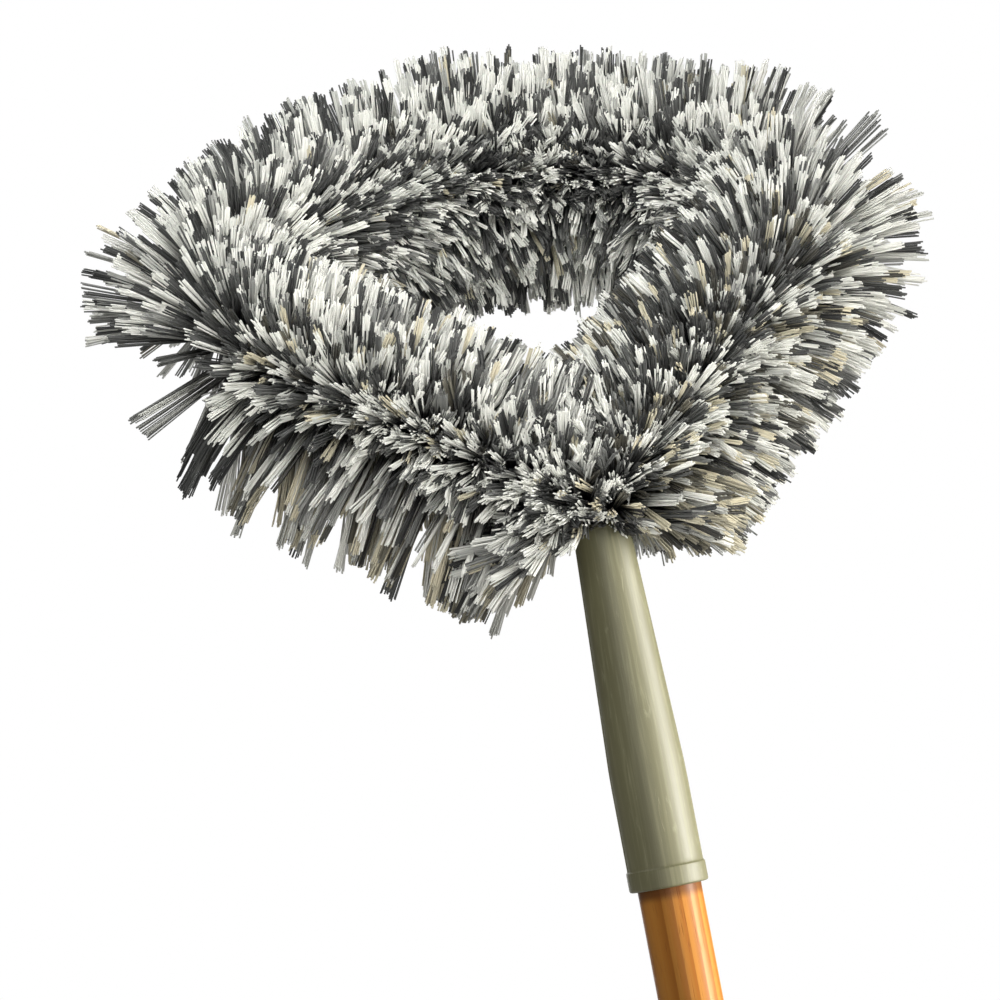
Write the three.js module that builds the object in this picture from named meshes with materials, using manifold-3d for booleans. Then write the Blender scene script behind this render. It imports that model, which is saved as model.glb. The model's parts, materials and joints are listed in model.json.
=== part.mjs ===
// Dusting brush: a twisted-wire brush bent into a ring, held by a tapered socket on a wooden pole.
// Millimetres, +Z up the pole, +X along the ring's width. The origin is the middle of the pole's butt end.

import * as THREE from 'three';
import { mergeVertices } from 'three/addons/utils/BufferGeometryUtils.js';
import Module from 'manifold-3d';

const wasm = await Module();
wasm.setup();

// Driving dimensions
const FIT_GAP = 0.3; // clearance between pieces that touch
const ROUND_STEPS = 3; // smoothness of turned edges
const SLOT_STEPS = 8; // smoothness of the round ends of a slot

const POLE_LENGTH = 914;
const POLE_DIAMETER = 22;
const POLE_TIP_DIAMETER = 18;
const POLE_BUTT_ROUND = 5;
const POLE_TIP_CHAMFER = 1.2;
const POLE_GRIP_DEPTH = 85; // length of the tapered end inside the socket
const POLE_SIDES = 40;

const SOCKET_WALL = 1.9; // wall of the straight skirt
const SOCKET_SKIRT_LENGTH = 40;
const SOCKET_TOP_DIAMETER = 19.7;
const SOCKET_TOP_ROUND = 2.4;
const COLLAR_HEIGHT = 7;
const COLLAR_PROUD = 0.5;
const COLLAR_ROUND = 0.9;
const MOUTH_CHAMFER = 0.6;
const STEM_CHANNEL_LENGTH = 25.7; // solid top of the socket that the wires pass through
const SOCKET_SIDES = 48;

const SLEEVE_LENGTH = 13;
const SLEEVE_WALL = 1.2;
const STEM_TAIL = 1.0; // wire showing below the sleeve, and the same again free above the pole's tip

const WIRE_DIAMETER = 2.4;
const WIRE_SIDES = 5;
const TWIST_PITCH = 44; // length of one full turn of the twisted pair
const TWIST_STEPS = 8; // straight steps in one turn
const BED_THICKNESS = 1.0; // filament bed squeezed between the wires
const STEM_SPACING = 0.8; // space between the two twisted stems in the socket
const STEM_RISE = 1.0; // straight stem above the socket's top
const STEM_BEND_RADIUS = 12;

const RING_WIDTH = 213; // between the middles of the wire at the two turns
const RING_TILT = THREE.MathUtils.degToRad(41.5); // how far the ring leans back from the pole
const ARM_ANGLE = THREE.MathUtils.degToRad(42.5); // each arm from the ring's own centre line
const TURN_RADIUS = 39;
const CROWN_RISE = 25; // how far the crown bows up above the two turns

const BRISTLE_REACH = 49; // from the middle of the wire to a trimmed tip
const BRISTLE_START = 16; // bare core between the arms' meeting point and the first strand
const TURN_CLEARANCE = 3; // inner tips stop this far from the middle of a turn
const MIDDLE_CLEARANCE = 1; // inner tips stop this far from the middle of the brush, low between the arms
const STRAND_ROOT = 1.5; // length of core that one strand grows from
const STRAND_TIP = 1.2;
const STATIONS_PER_BED = 50; // each station has a strand on both edges of the bed

// Sizes that follow
const poleRadius = POLE_DIAMETER / 2;
const poleTipRadius = POLE_TIP_DIAMETER / 2;
const mouthHeight = POLE_LENGTH - POLE_GRIP_DEPTH;
const boreDepth = POLE_GRIP_DEPTH + FIT_GAP;
const sleeveStart = boreDepth + 2 * STEM_TAIL;
const channelStart = sleeveStart + SLEEVE_LENGTH + FIT_GAP;
const socketLength = channelStart + STEM_CHANNEL_LENGTH;

const wireRadius = WIRE_DIAMETER / 2;
const wireOffset = BED_THICKNESS / 2 + FIT_GAP + wireRadius;
const coreRadius = wireOffset + wireRadius;
const stemOffset = coreRadius + STEM_SPACING / 2;
const stemHalfWidth = stemOffset + coreRadius + FIT_GAP;
const stemHalfDepth = coreRadius + FIT_GAP;

const up = new THREE.Vector3(0, 0, 1);
const ringAcross = new THREE.Vector3(1, 0, 0);
const ringUp = new THREE.Vector3(0, Math.sin(RING_TILT), Math.cos(RING_TILT));
const ringFace = ringAcross.clone().cross(ringUp); // square to the ring, towards the front

// Materials
const wood = new THREE.MeshStandardMaterial({ color: 0xc98a35, roughness: 0.35, metalness: 0 });
const socketPlastic = new THREE.MeshStandardMaterial({ color: 0x7c7f5f, roughness: 0.45, metalness: 0 });
const steel = new THREE.MeshStandardMaterial({ color: 0x8d8f8e, roughness: 0.35, metalness: 1 });
const filament = new THREE.MeshStandardMaterial({ color: 0x9d9c93, roughness: 0.7, metalness: 0 });

const brush = new THREE.Group();

function addPart(name, geometry, material, height = 0) {
  const mesh = new THREE.Mesh(geometry, material);
  mesh.name = name;
  mesh.position.z = height;
  brush.add(mesh);
}

// Joins and cuts
function toSolid(geometry) {
  const bare = geometry.clone();
  bare.deleteAttribute('normal');
  bare.deleteAttribute('uv');
  const merged = mergeVertices(bare);
  const corners = merged.index.array;
  const kept = [];
  for (let i = 0; i < corners.length; i += 3) {
    const [a, b, c] = corners.slice(i, i + 3);
    if (a !== b && b !== c && c !== a) kept.push(a, b, c);
  }
  const vertProperties = new Float32Array(merged.attributes.position.array);
  return new wasm.Manifold(new wasm.Mesh({ numProp: 3, vertProperties, triVerts: new Uint32Array(kept) }));
}

function toGeometry(solid) {
  const mesh = solid.getMesh();
  const geometry = new THREE.BufferGeometry();
  geometry.setAttribute('position', new THREE.BufferAttribute(mesh.vertProperties, 3));
  geometry.setIndex(new THREE.BufferAttribute(mesh.triVerts, 1));
  geometry.computeVertexNormals();
  return geometry;
}

// A profile of radius and height, turned about +Z
function turned(outline, sides) {
  return new THREE.LatheGeometry(outline.getPoints(ROUND_STEPS), sides).rotateX(Math.PI / 2);
}

// Pole: a round butt with a flat end, a straight shaft and a long taper
function makePole() {
  const outline = new THREE.Path();
  outline.moveTo(0, 0);
  outline.lineTo(poleRadius - POLE_BUTT_ROUND, 0);
  outline.absarc(poleRadius - POLE_BUTT_ROUND, POLE_BUTT_ROUND, POLE_BUTT_ROUND, -Math.PI / 2, 0);
  outline.lineTo(poleRadius, mouthHeight);
  outline.lineTo(poleTipRadius, POLE_LENGTH - POLE_TIP_CHAMFER);
  outline.lineTo(poleTipRadius - POLE_TIP_CHAMFER, POLE_LENGTH);
  outline.lineTo(0, POLE_LENGTH);
  return turned(outline, POLE_SIDES);
}

// A slot with round ends, wide enough for both twisted stems, grown by `wall` all round
function stemOutline(wall) {
  const round = stemHalfDepth + wall;
  const middle = stemHalfWidth - stemHalfDepth;
  const outline = new THREE.Shape();
  outline.absarc(middle, 0, round, -Math.PI / 2, Math.PI / 2);
  outline.absarc(-middle, 0, round, Math.PI / 2, Math.PI * 1.5);
  return outline;
}

function stemPrism(wall, from, to) {
  const prism = new THREE.ExtrudeGeometry(stemOutline(wall), {
    depth: to - from,
    bevelEnabled: false,
    curveSegments: SLOT_STEPS,
  });
  return prism.translate(0, 0, from);
}

// Socket: tapered outside, tapered bore for the pole, a pocket for the sleeve and a channel for the stems
function makeSocket() {
  const boreMouth = poleRadius + FIT_GAP;
  const boreTip = poleTipRadius + FIT_GAP;
  const skirt = boreMouth + SOCKET_WALL;
  const collar = skirt + COLLAR_PROUD;
  const top = SOCKET_TOP_DIAMETER / 2;
  const shoulder = top - SOCKET_TOP_ROUND;

  const outline = new THREE.Path();
  outline.moveTo(0, boreDepth);
  outline.lineTo(boreTip, boreDepth);
  outline.lineTo(boreMouth, MOUTH_CHAMFER);
  outline.lineTo(boreMouth + MOUTH_CHAMFER, 0);
  outline.lineTo(collar - COLLAR_ROUND, 0);
  outline.absarc(collar - COLLAR_ROUND, COLLAR_ROUND, COLLAR_ROUND, -Math.PI / 2, 0);
  outline.lineTo(collar, COLLAR_HEIGHT - COLLAR_PROUD);
  outline.lineTo(skirt, COLLAR_HEIGHT);
  outline.lineTo(skirt, SOCKET_SKIRT_LENGTH);
  outline.lineTo(top, socketLength - SOCKET_TOP_ROUND);
  outline.absarc(shoulder, socketLength - SOCKET_TOP_ROUND, SOCKET_TOP_ROUND, 0, Math.PI / 2);
  outline.lineTo(0, socketLength);

  const past = 1; // the cuts run this far past the faces that they open
  const body = toSolid(turned(outline, SOCKET_SIDES));
  const pocket = toSolid(stemPrism(SLEEVE_WALL + FIT_GAP, boreDepth - past, channelStart));
  const channel = toSolid(stemPrism(0, channelStart - past, socketLength + past));
  return toGeometry(body.subtract(pocket).subtract(channel));
}

// Sleeve crimped round both stems, below the shoulder that it is pulled up against
function makeStemSleeve() {
  const outline = stemOutline(SLEEVE_WALL);
  outline.holes.push(stemOutline(0));
  return new THREE.ExtrudeGeometry(outline, {
    depth: SLEEVE_LENGTH,
    bevelEnabled: false,
    curveSegments: SLOT_STEPS,
  });
}

// Middle line of the twisted core: up one stem, round the ring and down the other stem
class RoundBend extends THREE.Curve {
  constructor(start, heading, target, radius) {
    super();
    this.start = start.clone();
    this.heading = heading.clone();
    this.side = target.clone().addScaledVector(heading, -heading.dot(target)).normalize();
    this.radius = radius;
    this.angle = heading.angleTo(target);
  }

  getPoint(t, point = new THREE.Vector3()) {
    const swept = this.angle * t;
    return point
      .copy(this.start)
      .addScaledVector(this.heading, this.radius * Math.sin(swept))
      .addScaledVector(this.side, this.radius * (1 - Math.cos(swept)));
  }
}

function ringHeading(acrossShare, upShare) {
  return new THREE.Vector3().addScaledVector(ringAcross, acrossShare).addScaledVector(ringUp, upShare);
}

function makeCorePath() {
  // The turns and the crown, in the ring's plane, measured from where the two arms would meet
  const turnAcross = RING_WIDTH / 2 - TURN_RADIUS;
  const turnUp = (TURN_RADIUS + turnAcross * Math.cos(ARM_ANGLE)) / Math.sin(ARM_ANGLE);
  const crownDrop = (turnAcross ** 2 - CROWN_RISE ** 2) / (2 * CROWN_RISE);
  const crownRadius = TURN_RADIUS + CROWN_RISE + crownDrop;
  const crownStart = Math.atan2(crownDrop, turnAcross);
  const armLength = turnAcross * Math.sin(ARM_ANGLE) + turnUp * Math.cos(ARM_ANGLE);

  const armUp = ringHeading(Math.sin(ARM_ANGLE), Math.cos(ARM_ANGLE));
  const intoCrown = ringHeading(-Math.sin(crownStart), Math.cos(crownStart));
  const outOfCrown = ringHeading(-Math.sin(crownStart), -Math.cos(crownStart));
  const armDown = ringHeading(Math.sin(ARM_ANGLE), -Math.cos(ARM_ANGLE));
  const down = up.clone().negate();

  const path = new THREE.CurvePath();
  const stemFoot = mouthHeight + boreDepth + STEM_TAIL;
  const stemLength = mouthHeight + socketLength + STEM_RISE - stemFoot;
  const at = new THREE.Vector3(stemOffset, 0, stemFoot);
  let heading = up;

  const runStraight = (length) => {
    const end = at.clone().addScaledVector(heading, length);
    path.add(new THREE.LineCurve3(at.clone(), end));
    at.copy(end);
  };
  const bendTo = (target, radius) => {
    const bend = new RoundBend(at, heading, target, radius);
    path.add(bend);
    at.copy(bend.getPoint(1));
    heading = target;
  };

  runStraight(stemLength);
  bendTo(armUp, STEM_BEND_RADIUS);
  const bendEnd = at.x / Math.sin(ARM_ANGLE); // along the arm, from where the two arms would meet
  runStraight(armLength - bendEnd);
  const armEnd = path.getLength();
  bendTo(intoCrown, TURN_RADIUS);
  bendTo(outOfCrown, crownRadius);
  bendTo(armDown, TURN_RADIUS);
  runStraight(armLength - bendEnd);
  bendTo(down, STEM_BEND_RADIUS);
  runStraight(stemLength);

  const length = path.getLength();
  return { path, length, armEnd, bristleStart: armEnd - armLength + BRISTLE_START };
}

const core = makeCorePath();

// Place on the core at a distance from its first end: `out` lies along the bed's width and `across` along
// its thickness, and both turn with the twist
function coreFrame(distance) {
  const t = THREE.MathUtils.clamp(distance / core.length, 0, 1);
  const point = core.path.getPoint(t);
  const along = core.path.getTangent(t);
  const face = ringFace.clone().addScaledVector(along, -ringFace.dot(along)).normalize();
  const twist = (2 * Math.PI * distance) / TWIST_PITCH;
  const out = face.applyAxisAngle(along, twist);
  const across = along.clone().cross(out);
  return { point, along, out, across };
}

class TwistedWire extends THREE.Curve {
  constructor(offset) {
    super();
    this.offset = offset;
  }

  getPoint(t, point = new THREE.Vector3()) {
    const frame = coreFrame(t * core.length);
    return point.copy(frame.point).addScaledVector(frame.across, this.offset);
  }
}

const wireSteps = Math.ceil((core.length / TWIST_PITCH) * TWIST_STEPS);

function makeWire(name, offset) {
  const wire = new TwistedWire(offset);
  wire.arcLengthDivisions = wireSteps * 4; // fine enough to space the steps evenly
  console.log(`${name}: least gap to itself ${leastGap(wire).toFixed(2)} mm`);
  const corners = Array.from({ length: WIRE_SIDES }, (_, i) => {
    const angle = (2 * Math.PI * i) / WIRE_SIDES;
    return new THREE.Vector2(wireRadius * Math.cos(angle), wireRadius * Math.sin(angle));
  });
  return new THREE.ExtrudeGeometry(new THREE.Shape(corners), {
    extrudePath: wire,
    steps: wireSteps,
    bevelEnabled: false,
  });
}

// Least clear space between stretches of one wire that are at least half a turn apart
function leastGap(wire) {
  const pointsPerStep = 2;
  const points = wire.getPoints(wireSteps * pointsPerStep);
  const apart = (TWIST_STEPS / 2) * pointsPerStep;
  let least = Infinity;
  for (let i = 0; i < points.length; i += 1) {
    for (let j = i + apart; j < points.length; j += 1) {
      least = Math.min(least, points[i].distanceTo(points[j]));
    }
  }
  return least - WIRE_DIAMETER;
}

// How far a strand reaches: full length outwards, trimmed where strands would meet inside the ring
function strandReach(frame, direction, distance) {
  let reach = BRISTLE_REACH;
  const inward = direction.dot(ringFace.clone().cross(frame.along));
  if (inward > 0) reach = Math.min(reach, (TURN_RADIUS - TURN_CLEARANCE) / inward);
  const onArm = Math.min(distance, core.length - distance) < core.armEnd;
  const towardsMiddle = -direction.x * Math.sign(frame.point.x);
  if (onArm && towardsMiddle > 0) {
    reach = Math.min(reach, (Math.abs(frame.point.x) - MIDDLE_CLEARANCE) / towardsMiddle);
  }
  return reach;
}

const stationCount = 4 * STATIONS_PER_BED;
const stationSpacing = (core.length - 2 * core.bristleStart) / stationCount;

// One quarter of the filament bed: a twisted ribbon with a strand growing from both edges at each station
function makeBristleBed(quarter) {
  const positions = [];
  const triangles = [];
  const addPoint = (point) => positions.push(point.x, point.y, point.z) / 3 - 1;
  const addQuad = (a, b, c, d) => triangles.push(a, b, c, a, c, d);

  const corner = (frame, wide, thick) =>
    frame.point
      .clone()
      .addScaledVector(frame.out, wide * coreRadius)
      .addScaledVector(frame.across, (thick * BED_THICKNESS) / 2);
  const addRing = (distance) => {
    const frame = coreFrame(distance);
    const signs = [[1, -1], [1, 1], [-1, 1], [-1, -1]];
    return signs.map(([wide, thick]) => addPoint(corner(frame, wide, thick)));
  };
  const addStrand = (base, distance, side) => {
    const frame = coreFrame(distance);
    const direction = frame.out.clone().multiplyScalar(side);
    const middle = frame.point.clone().addScaledVector(direction, strandReach(frame, direction, distance));
    const half = STRAND_TIP / 2;
    const signs = [[-1, -1], [-1, 1], [1, 1], [1, -1]];
    const tip = signs.map(([along, across]) =>
      addPoint(
        middle
          .clone()
          .addScaledVector(frame.along, along * half)
          .addScaledVector(frame.across, across * side * half),
      ),
    );
    for (let i = 0; i < 4; i += 1) {
      const next = (i + 1) % 4;
      addQuad(base[i], base[next], tip[next], tip[i]);
    }
    addQuad(...tip);
  };

  const begin = core.bristleStart + quarter * STATIONS_PER_BED * stationSpacing;
  let last = addRing(begin + FIT_GAP / 2);
  addQuad(last[3], last[2], last[1], last[0]);
  for (let station = 0; station < STATIONS_PER_BED; station += 1) {
    const middle = begin + (station + 0.5) * stationSpacing;
    const low = addRing(middle - STRAND_ROOT / 2);
    const high = addRing(middle + STRAND_ROOT / 2);
    for (let i = 0; i < 4; i += 1) addQuad(last[i], last[(i + 1) % 4], low[(i + 1) % 4], low[i]);
    addQuad(low[1], low[2], high[2], high[1]);
    addQuad(low[3], low[0], high[0], high[3]);
    addStrand([low[0], low[1], high[1], high[0]], middle, 1);
    addStrand([low[2], low[3], high[3], high[2]], middle, -1);
    last = high;
  }
  const end = addRing(begin + STATIONS_PER_BED * stationSpacing - FIT_GAP / 2);
  for (let i = 0; i < 4; i += 1) addQuad(last[i], last[(i + 1) % 4], end[(i + 1) % 4], end[i]);
  addQuad(...end);

  const geometry = new THREE.BufferGeometry();
  geometry.setAttribute('position', new THREE.Float32BufferAttribute(positions, 3));
  geometry.setIndex(triangles);
  geometry.computeVertexNormals();
  return geometry;
}

addPart('pole', makePole(), wood);
addPart('socket', makeSocket(), socketPlastic, mouthHeight);
addPart('stem_sleeve', makeStemSleeve(), steel, mouthHeight + sleeveStart);
addPart('core_wire_a', makeWire('core_wire_a', wireOffset), steel);
addPart('core_wire_b', makeWire('core_wire_b', -wireOffset), steel);
const beds = ['bristles_right_arm', 'bristles_right_crown', 'bristles_left_crown', 'bristles_left_arm'];
beds.forEach((name, quarter) => addPart(name, makeBristleBed(quarter), filament));

export default brush;
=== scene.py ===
"""Looks of the dusting brush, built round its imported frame, in metres with +Z up the pole.

Two steel wires grip a bed of grey and white filaments, twist together and bend into a ring. The ends of the
wires stand in a tapered plastic socket, which is pushed onto a lacquered wooden pole.
"""
import json
import math
import bmesh
import bpy
import numpy as np
from mathutils import Matrix, Vector

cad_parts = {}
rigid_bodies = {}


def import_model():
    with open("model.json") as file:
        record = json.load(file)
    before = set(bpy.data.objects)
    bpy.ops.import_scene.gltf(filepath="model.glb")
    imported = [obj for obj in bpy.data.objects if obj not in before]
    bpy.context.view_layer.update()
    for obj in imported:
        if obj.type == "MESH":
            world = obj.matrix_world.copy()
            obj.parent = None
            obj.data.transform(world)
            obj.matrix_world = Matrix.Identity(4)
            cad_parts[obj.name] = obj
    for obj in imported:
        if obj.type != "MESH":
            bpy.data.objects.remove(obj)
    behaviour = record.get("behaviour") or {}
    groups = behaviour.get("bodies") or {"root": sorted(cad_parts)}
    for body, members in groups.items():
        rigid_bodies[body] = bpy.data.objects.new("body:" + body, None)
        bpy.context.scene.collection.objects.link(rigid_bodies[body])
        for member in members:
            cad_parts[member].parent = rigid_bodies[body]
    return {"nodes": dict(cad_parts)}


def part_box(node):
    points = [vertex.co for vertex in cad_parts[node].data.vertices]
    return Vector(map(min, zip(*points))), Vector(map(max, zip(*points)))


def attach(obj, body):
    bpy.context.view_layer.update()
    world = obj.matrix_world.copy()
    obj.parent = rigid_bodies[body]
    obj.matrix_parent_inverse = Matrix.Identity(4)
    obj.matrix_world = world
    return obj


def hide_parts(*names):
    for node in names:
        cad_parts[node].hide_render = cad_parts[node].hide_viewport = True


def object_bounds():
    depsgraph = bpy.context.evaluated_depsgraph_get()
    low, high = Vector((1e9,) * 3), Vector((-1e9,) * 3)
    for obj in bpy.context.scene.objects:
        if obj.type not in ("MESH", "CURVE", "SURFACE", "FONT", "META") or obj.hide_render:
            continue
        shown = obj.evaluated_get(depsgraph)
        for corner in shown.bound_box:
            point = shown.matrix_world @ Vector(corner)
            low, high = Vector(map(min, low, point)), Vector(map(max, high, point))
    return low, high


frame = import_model()
cad_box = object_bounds()

MM = 0.001

# Limits: a radius that counts as none, the slack where runs of the core meet, and how upright a strand's run
# may be before another direction is used to find its sides
NO_RADIUS = 1e-7
RUN_SLACK = 1e-9
UPRIGHT = 0.9

# Studio: the floor and its own glow, the light from all round as it falls and as the camera sees it, and the
# colours of the lamps
FLOOR_RADIUS = 6.0
FLOOR_SIDES = 96
FLOOR_GLOW = 0.82
WORLD_LIGHT = 0.2
WORLD_SEEN = 1.0
WHITE_LIGHT = (1.0, 1.0, 1.0)
WARM_LIGHT = (1.0, 0.98, 0.93)
STRIP_LIGHT = (1.0, 0.99, 0.97)

# The photograph's view: where the socket's top stands in the picture, and the camera's place round it
PICTURE_PIXELS = 1000
SOCKET_TOP_PIXEL = (600, 524)
FOCAL_PIXELS = 3270
SENSOR_WIDTH = 36.0
VIEW_DISTANCE = 1128 * MM
VIEW_AZIMUTH = math.radians(-11.2)
VIEW_RISE = math.radians(-4.75)
VIEW_ROLL = math.radians(-10.8)

# Pole, and the painted shadow band on it round the socket's mouth
POLE_BUTT_ROUND = 5 * MM
POLE_TIP_RADIUS = 9 * MM
POLE_TIP_CHAMFER = 1.2 * MM
POLE_SIDES = 96
SHAFT_START = POLE_BUTT_ROUND + 4 * MM
SHAFT_RINGS = 60
POLE_TAPER_SHARES = np.linspace(0.1, 1, 10)
MOUTH_SHADOW_BELOW = (5 * MM, 1.5 * MM)
MOUTH_SHADOW_ABOVE = 5 * MM
MOUTH_SHADOW_SHARE = 0.8

# Socket, with a mould line down each side
FIT_GAP = 0.3 * MM
SOCKET_SKIRT_RADIUS = 13.2 * MM
SOCKET_SKIRT_LENGTH = 40 * MM
SOCKET_TOP_RADIUS = 9.85 * MM
SOCKET_TOP_ROUND = 2.4 * MM
COLLAR_HEIGHT = 7 * MM
COLLAR_ROUND = 0.9 * MM
COLLAR_EDGE = 0.5 * MM
MOUTH_CHAMFER = 0.6 * MM
BORE_DEPTH = 85.3 * MM
CHANNEL_START = 100.6 * MM
SLEEVE_WALL = 1.2 * MM
CUT_PAST = 1 * MM
SOCKET_SIDES = 128
SOCKET_SKIRT_RINGS = 12
SOCKET_TAPER_SHARES = np.linspace(0.02, 1, 30)
SEAM_DEGREES = (-1.6, -0.8, 0.8, 1.6)
SEAM_HALF_WIDTH = 0.25 * MM
SEAM_PROUD = 0.16 * MM
ROUNDING = 0.1 * MM

# Twisted wires and the ring that they are bent into
WIRE_RADIUS = 1.2 * MM
WIRE_OFFSET = 2.0 * MM
WIRE_SIDES = 12
TWIST_PITCH = 44 * MM
TWIST_STEPS = 28
STEM_OFFSET = 3.6 * MM
STEM_TAIL = 1 * MM
STEM_RISE = 1 * MM
STEM_BEND_RADIUS = 12 * MM
RING_WIDTH = 213 * MM
RING_TILT = math.radians(41.5)
ARM_ANGLE = math.radians(42.5)
TURN_RADIUS = 39 * MM
CROWN_RISE = 25 * MM

# Filaments: four beds follow each other along the core, each made of tufts and with a seed of its own
BEDS = ("right_arm", "right_crown", "left_crown", "left_arm")
FIRST_SEED = 1000
BRISTLE_START = -2.6 * MM
BRISTLE_REACH = 49.8 * MM
TUFTS_PER_BED = 3450
FILAMENTS_PER_TUFT = 7
ROOT_RADIUS = 0.2 * MM
TIP_RADIUS = 0.36 * MM
TUFT_ROOT = 0.7 * MM
TUFT_TIP = 1.25 * MM
TUFT_BOW = 1.2 * MM
STRAND_BOW = 0.5 * MM
STRAND_STEPS = (0.02, 1.0)

# Lengths as shares of the full reach, and how far they vary
FULL_LENGTH_SHARE = 0.3
FULL_LENGTH = 0.99
FULL_LENGTH_SCATTER = 0.014
STRAND_LENGTH_SCATTER = 0.008
SHORTEST_SHARE = 0.72
SHORTER_IN_FACE = 0.12

# Shades from dark grey to white. Each hump of the mix has its middle, its width and its weight.
SHADE_STEPS = 24
SHADE_HUMPS = ((0.05, 0.06, 0.28), (0.36, 0.1, 0.12), (0.68, 0.08, 0.18), (0.97, 0.05, 0.42))

# Tufts next to the socket are trimmed along lines that fall away from it to the right and to the left. The
# nearest are left out where they fall steeply. None stands further in front of the CAD model than a margin.
FLOOR_LINES = {1: (-2.2 * MM, -0.3), -1: (6 * MM, -0.97)}
FLOOR_LENGTH = 75 * MM
STEEP_LENGTH = 9 * MM
STEEP_FALL = -0.5
FRONT_MARGIN = 10 * MM

# The twist gathers the tufts into two lobes a turn (degrees). Some stand loose between the lobes, fewer of
# them in the fringe round the ring's outer edge and back, which differs from bed to bed.
LOBE_HALF = 62
LOBE_SCATTER = 6
FRINGE = (-115, 20)
LOOSE_IN_FACE = 0.6
LOOSE_IN_FRINGE = (0.4, 0.4, 0.25, 0.05)

# How far tufts lean along the core: distances along it (mm) and degrees. Those that stand out of the ring's
# face, at the angles given, lean towards the socket as well, and are more scattered.
LEAN_PLACES = (40, 83, 420, 460, 605, 654)
LEAN_DEGREES = (9, 0, 0, 6, 6, -10)
FACE_PLACES = (40, 150, 230, 460, 530, 654)
FACE_DEGREES = (63, 63, 136, 136, 47, 47)
FACE_LEAN_DEGREES = (-30, -24, 0, 0, 8, 22)
FRINGE_SCATTER = 3
FACE_SCATTER = 9

# How many loose tufts bunch together where the ring's front is, and how far they spread (degrees)
BUNCH_SHARE = (0.3, 0.45, 0.45, 0.2)
BUNCH_SPREAD = 26

# How far filaments reach into the middle of the ring, at the ends of the right and left turns
INNER_REACH = (45 * MM, 56.5 * MM, 56.5 * MM, 34 * MM)

# Uneven trimming of the fringe, by stretch of the core (mm), angle (degrees) and extra length (mm). Angles
# run from the ring's outer edge towards its face. Edges soften a patch over mm and degrees.
TRIM_EDGES = (8.0, 20.0)
TRIMS = (
    (496, 640, -110, -5, 4.4),
    (498, 560, -110, -36, 5.6),
    (456, 486, -25, 35, 3.6),
    (231, 258, 10, 80, 4.4),
    (202, 212, 0, 35, 4.0),
    (62, 190, -60, 50, -3.4),
    (246, 340, 10, 100, -2.4),
    (372, 460, 10, 100, -2.6),
    (486, 509, -42, -15, -5.0),
    (478, 489, 8, 45, -3.0),
)

# Patches in front of the skirt and right of the socket where only a share of the tufts is kept
THINNED = ((506, 636, -14, 26, 0.5), (40, 84, 8, 46, 0.4))

# The skirt below the left arm: its tufts are drawn together in lobes, with pale tufts along the partings. A
# parting shifts along the core with the angle, so that it lines up in the photograph's view.
SKIRT = (496, 645, -112, -6)
SKIRT_EDGES = (6.0, 12.0)
SKIRT_PARTINGS = (494, 507, 527.5, 556, 591.5, 636)
SKIRT_SLANT = 0.46
SKIRT_ANGLE = -46
SKIRT_SCATTER = 1.5
PARTING_HALF = 6 * MM
PARTING_EDGE = 0.8

# Gaps in the fringe: stretches of the core that have no tufts between two angles
FRINGE_GAPS = (
    (211, 219, 22, 80), (216, 232, -18, 36), (224, 231.5, 30, 75),
    (362, 369, 15, 40), (365, 372, 40, 60), (369, 376, 60, 80), (375, 382, 80, 105),
    (464, 472, -100, -35), (472, 479, -100, -10), (479, 489, -100, 22),
    (489, 497, -55, 32), (497, 504, -34, 42), (504, 511, -26, 46),
)

# Lone tufts that stand in the gaps: distance, angle, reach (mm) and shade
LONE_TUFTS = (
    (218, 42, 57, 8), (219.2, 42, 57, 7), (220.4, 41, 57, 9), (221.6, 41, 56.5, 8),
    (210, 16, 51, 18), (207, 11, 50.5, 16), (201, 1, 52.5, 15), (232.5, 42, 51, 12), (230, 61, 50, 14),
    (474, 17, 50, 7), (475.5, 16, 50, 5),
    (486.5, 15, 48, 3), (488, 15, 47.5, 2), (489.5, 15, 46, 4),
    (498, -6, 49, 6), (499, -5, 49, 8), (500.5, -6, 47, 15), (501.4, -6, 48, 8),
    (502.2, -7, 48.5, 7), (503.2, -6, 48, 9), (493, 9, 34, 4), (494.5, 9, 33, 5),
    (587.5, -46, 52.5, 3), (589, -46, 53, 2), (590.5, -46, 52.5, 3),
    (629.5, -58, 52.5, 17), (631, -58, 52.5, 18),
)

# Painted shade and painted light: patches where more tufts turn dark, on parts of the ring that should lie in
# shade, and where more turn pale, on parts where light falls: stretch, angles and the share that turns dark
# (-) or pale (+)
TONE_EDGES = (20.0, 30.0)
PAINTED_LIGHT_AND_SHADE = (
    (84, 200, 50, 165, -0.36),
    (40, 80, 20, 130, -0.24),
    (190, 232, -30, 60, 0.35),
    (240, 468, 108, 180, -0.28),
    (365, 455, -10, 80, -0.36),
    (505, 590, 85, 181, 0.3),
    (500, 640, 10, 75, -0.18),
    (490, 520, 50, 84, -0.55),
)
DARK_SHADES = (0, 4)
PALE_SHADES = (20, 24)

# Where the mix is duller: stretch and angles, the shades and how many tufts take them
DULL_PATCHES = (SKIRT, (40, 86, -95, 45))
DULL_SHADES = (6, 16)
DULL_SHARE = 0.6

# How many tufts take a warm tint, painted for the browner shade under the ring and the beige light on its
# right side, in each bed and in patches of their own
WARM_SHARE = (0.18, 0.03, 0.02, 0.08)
WARM_PATCHES = ((509, 645, -112, -22, 0.7), (40, 84, -95, 45, 0.7))

RING_FACE = np.array((0.0, -math.cos(RING_TILT), math.sin(RING_TILT)))

_, pole_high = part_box("pole")
socket_low, socket_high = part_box("socket")
MOUTH_HEIGHT = socket_low.z
SOCKET_TOP = socket_high.z
POLE_RADIUS = pole_high.x


def paint(red, green, blue):
    """A screen colour of 0 to 255 as the linear colour that a shader takes."""
    def linear(level):
        share = level / 255
        return share / 12.92 if share <= 0.04045 else ((share + 0.055) / 1.055) ** 2.4
    return (linear(red), linear(green), linear(blue), 1.0)


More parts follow.
